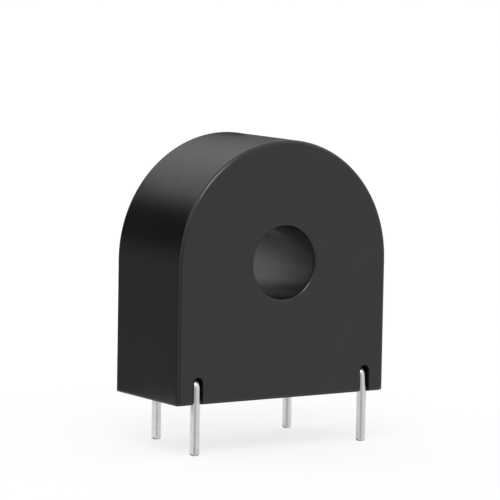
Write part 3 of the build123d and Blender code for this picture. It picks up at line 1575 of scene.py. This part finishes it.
    def mirrored_only(
        self, card: bpy.types.Object, shader: Shader, level: Value, power: float
    ) -> None:
        """Let a card glow, in reflections only.

        Args:
            card: the card.
            shader: its material.
            level: how its glow varies.
            power: its glow where the level is 1.
        """
        card.visible_camera = card.visible_diffuse = card.visible_shadow = False
        shader.paint(Base_Color=self.card_colour, Roughness=self.card_roughness)
        shader.paint(Specular_IOR_Level=0.0, Emission_Color=level, Emission_Strength=power)
        card.data.materials.append(shader.material)
        card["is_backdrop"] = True

    def surround(self) -> None:
        """Make the world white for the camera, an even fill for matt surfaces, and for reflections
        a white tent with darker flags low down."""
        world = bpy.data.worlds.new("white_surround")
        bpy.context.scene.world = world
        world.use_nodes = True
        world.cycles.sampling_method = "NONE"
        world.node_tree.nodes.clear()
        graph = Graph(world.node_tree)
        x, y, z = graph.parts(graph.node("ShaderNodeTexCoord").outputs["Generated"])
        height = z * 0.5 + 0.5
        across = x.between(*self.left_to_right)
        left, right = height.ramp(self.back_left), height.ramp(self.back_right)
        behind = left + across * (right - left)
        flag_x, flag_y = self.flag_towards
        flag = (x * flag_x + y * flag_y).between(*self.flag_edge)
        flag = flag * (1 - z.between(*self.flag_top))
        ahead = height.ramp(self.front) - flag * self.flag_power
        mirrored = ahead + y.between(*self.front_to_back) * (behind - ahead)
        glossy = graph.ray("Is Glossy Ray")
        level = self.fill_level + glossy * (mirrored - self.fill_level)
        camera = graph.ray("Is Camera Ray")
        strength = level + camera * (1 - level)
        sky = graph.node("ShaderNodeBackground", None, {"Color": WHITE, "Strength": strength})
        graph.node("ShaderNodeOutputWorld", None, {"Surface": sky.outputs[0]})

    def lamp(self, name: str, power: float, seen_by_matt: bool) -> None:
        """Hang one far soft lamp at the upper left in front of the set.

        Args:
            name: the lamp's name.
            power: how strongly it lights a surface that faces it.
            seen_by_matt: whether it lights matt surfaces too, or only shows in reflections.
        """
        towards = Vector(self.lamp_towards)
        Blank.clear_selection()
        bpy.ops.object.light_add(type="SUN", location=towards)
        lamp = bpy.context.object
        lamp.name = name
        lamp.rotation_euler = towards.to_track_quat("Z", "Y").to_euler()
        lamp.data.energy = power
        lamp.data.angle = self.lamp_spread
        lamp.visible_diffuse = seen_by_matt

    def build(self) -> None:
        """Set up floor, cards, surround and lamps."""
        self.floor()
        self.window_card()
        self.pin_card()
        self.surround()
        self.lamp("key_softbox", self.key_power, True)
        self.lamp("edge_softbox", self.edge_power, False)


@dataclass
class Viewpoint:
    """The camera, at the photograph's viewing angle."""

    azimuth: float = -33.635
    elevation: float = 6.214
    roll: float = 1.026
    distance_mm: float = 317.295
    rise_mm: float = 12.688
    across_mm: float = -0.053
    lens_mm: float = 253.958
    sensor_mm: float = 36.0
    nearest: float = 0.01
    farthest: float = 20.0

    def build(self) -> None:
        """Add the camera and make it the scene's."""
        yaw, pitch, roll = (math.radians(a) for a in (self.azimuth, self.elevation, self.roll))
        level = math.cos(pitch)
        ahead = Vector((-math.sin(yaw) * level, math.cos(yaw) * level, -math.sin(pitch)))
        right = Vector((math.cos(yaw), math.sin(yaw), 0))
        up = right.cross(ahead)
        across = math.cos(roll) * right + math.sin(roll) * up
        upward = math.cos(roll) * up - math.sin(roll) * right
        target = (upward * self.rise_mm + across * self.across_mm) * MM
        Blank.clear_selection()
        bpy.ops.object.camera_add()
        camera = bpy.context.object
        camera.name = "photo_camera"
        turn = Matrix((across, upward, -ahead)).transposed().to_4x4()
        camera.matrix_world = Matrix.Translation(target - ahead * self.distance_mm * MM) @ turn
        camera.data.lens = self.lens_mm
        camera.data.sensor_width = self.sensor_mm
        camera.data.clip_start = self.nearest
        camera.data.clip_end = self.farthest
        bpy.context.scene.camera = camera


def write_sizes(cad_box: object) -> None:
    """Put the CAD's box and the dressed model's box side by side, as plain lists.
    """
    boxes = {"cad": cad_box, "visual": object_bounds()}
    plain = {name: [list(map(float, corner)) for corner in box] for name, box in boxes.items()}


def main() -> None:
    """Build the studio and the part's pieces in order."""
    logging.basicConfig(level=logging.INFO, format="%(message)s")
    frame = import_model()
    cad_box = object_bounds()
    bpy.context.scene.view_settings.view_transform = "Standard"
    Viewpoint().build()
    Studio().build()
    layout = Layout()
    case = Case(layout)
    moulding = case.build()
    case.dress(moulding)
    LOG.info("case: %d faces", len(moulding.data.polygons))
    for pin in Pins(layout).dress():
        LOG.info("%s: %d faces", pin.name, len(pin.data.polygons))
    potting = Potting(layout, case)
    resin = potting.build()
    potting.dress(resin)
    LOG.info("potting: %d faces", len(resin.data.polygons))
    Coil(frame["nodes"], layout.axis_height).dress()
    write_sizes(cad_box)


if __name__ == "__main__":
    main()
